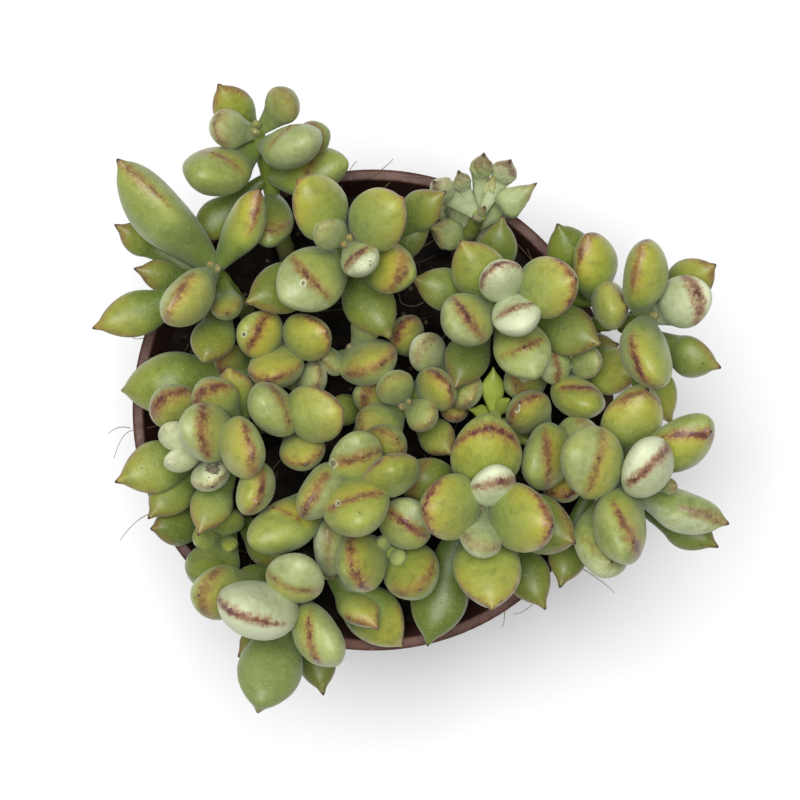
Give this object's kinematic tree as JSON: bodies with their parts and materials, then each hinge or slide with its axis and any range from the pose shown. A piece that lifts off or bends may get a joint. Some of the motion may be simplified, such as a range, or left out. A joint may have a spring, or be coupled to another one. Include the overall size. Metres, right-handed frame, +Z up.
{
  "type": "potted cotyledon",
  "caption": "Round tapered nursery pot of soil with a dense clump of fat-leaved cotyledon stems; thick, blunt leaves in opposite pairs spill over the rim.",
  "frame": {"origin": "centre of the pot's base, on the surface it stands on", "axes": "+Z up along the pot's axis; seen from above, +Y is the top of the picture and +X its right"},
  "size_m": [0.1485, 0.145, 0.1423],
  "materials": {
    "pot": "satin",
    "soil": "matte",
    "leaf": "satin",
    "young_leaf": "matte",
    "sprout_leaf": "satin"
  },
  "bodies": {
    "root": {"pot": "pot", "shoot_back_crinkled": "young_leaf", "shoot_back_left": "leaf", "shoot_back_middle": "leaf", "shoot_back_right": "leaf", "shoot_front_left": "leaf", "shoot_front_middle": "leaf", "shoot_front_pointed": "leaf", "shoot_front_twins": "leaf", "shoot_left_front": "leaf", "shoot_left_inner_bright": "leaf", "shoot_left_inner_top": "leaf", "shoot_left_spoon": "leaf", "shoot_left_spotted": "leaf", "shoot_left_tall": "leaf", "shoot_left_yellow": "leaf", "shoot_middle": "leaf", "shoot_middle_back": "leaf", "shoot_middle_left": "leaf", "shoot_middle_shade": "leaf", "shoot_right_back": "leaf", "shoot_right_far": "leaf", "shoot_right_front": "leaf", "shoot_right_inner": "leaf", "shoot_right_low": "leaf", "shoot_sprout": "sprout_leaf", "soil": "soil"}
  },
  "joints": []
}
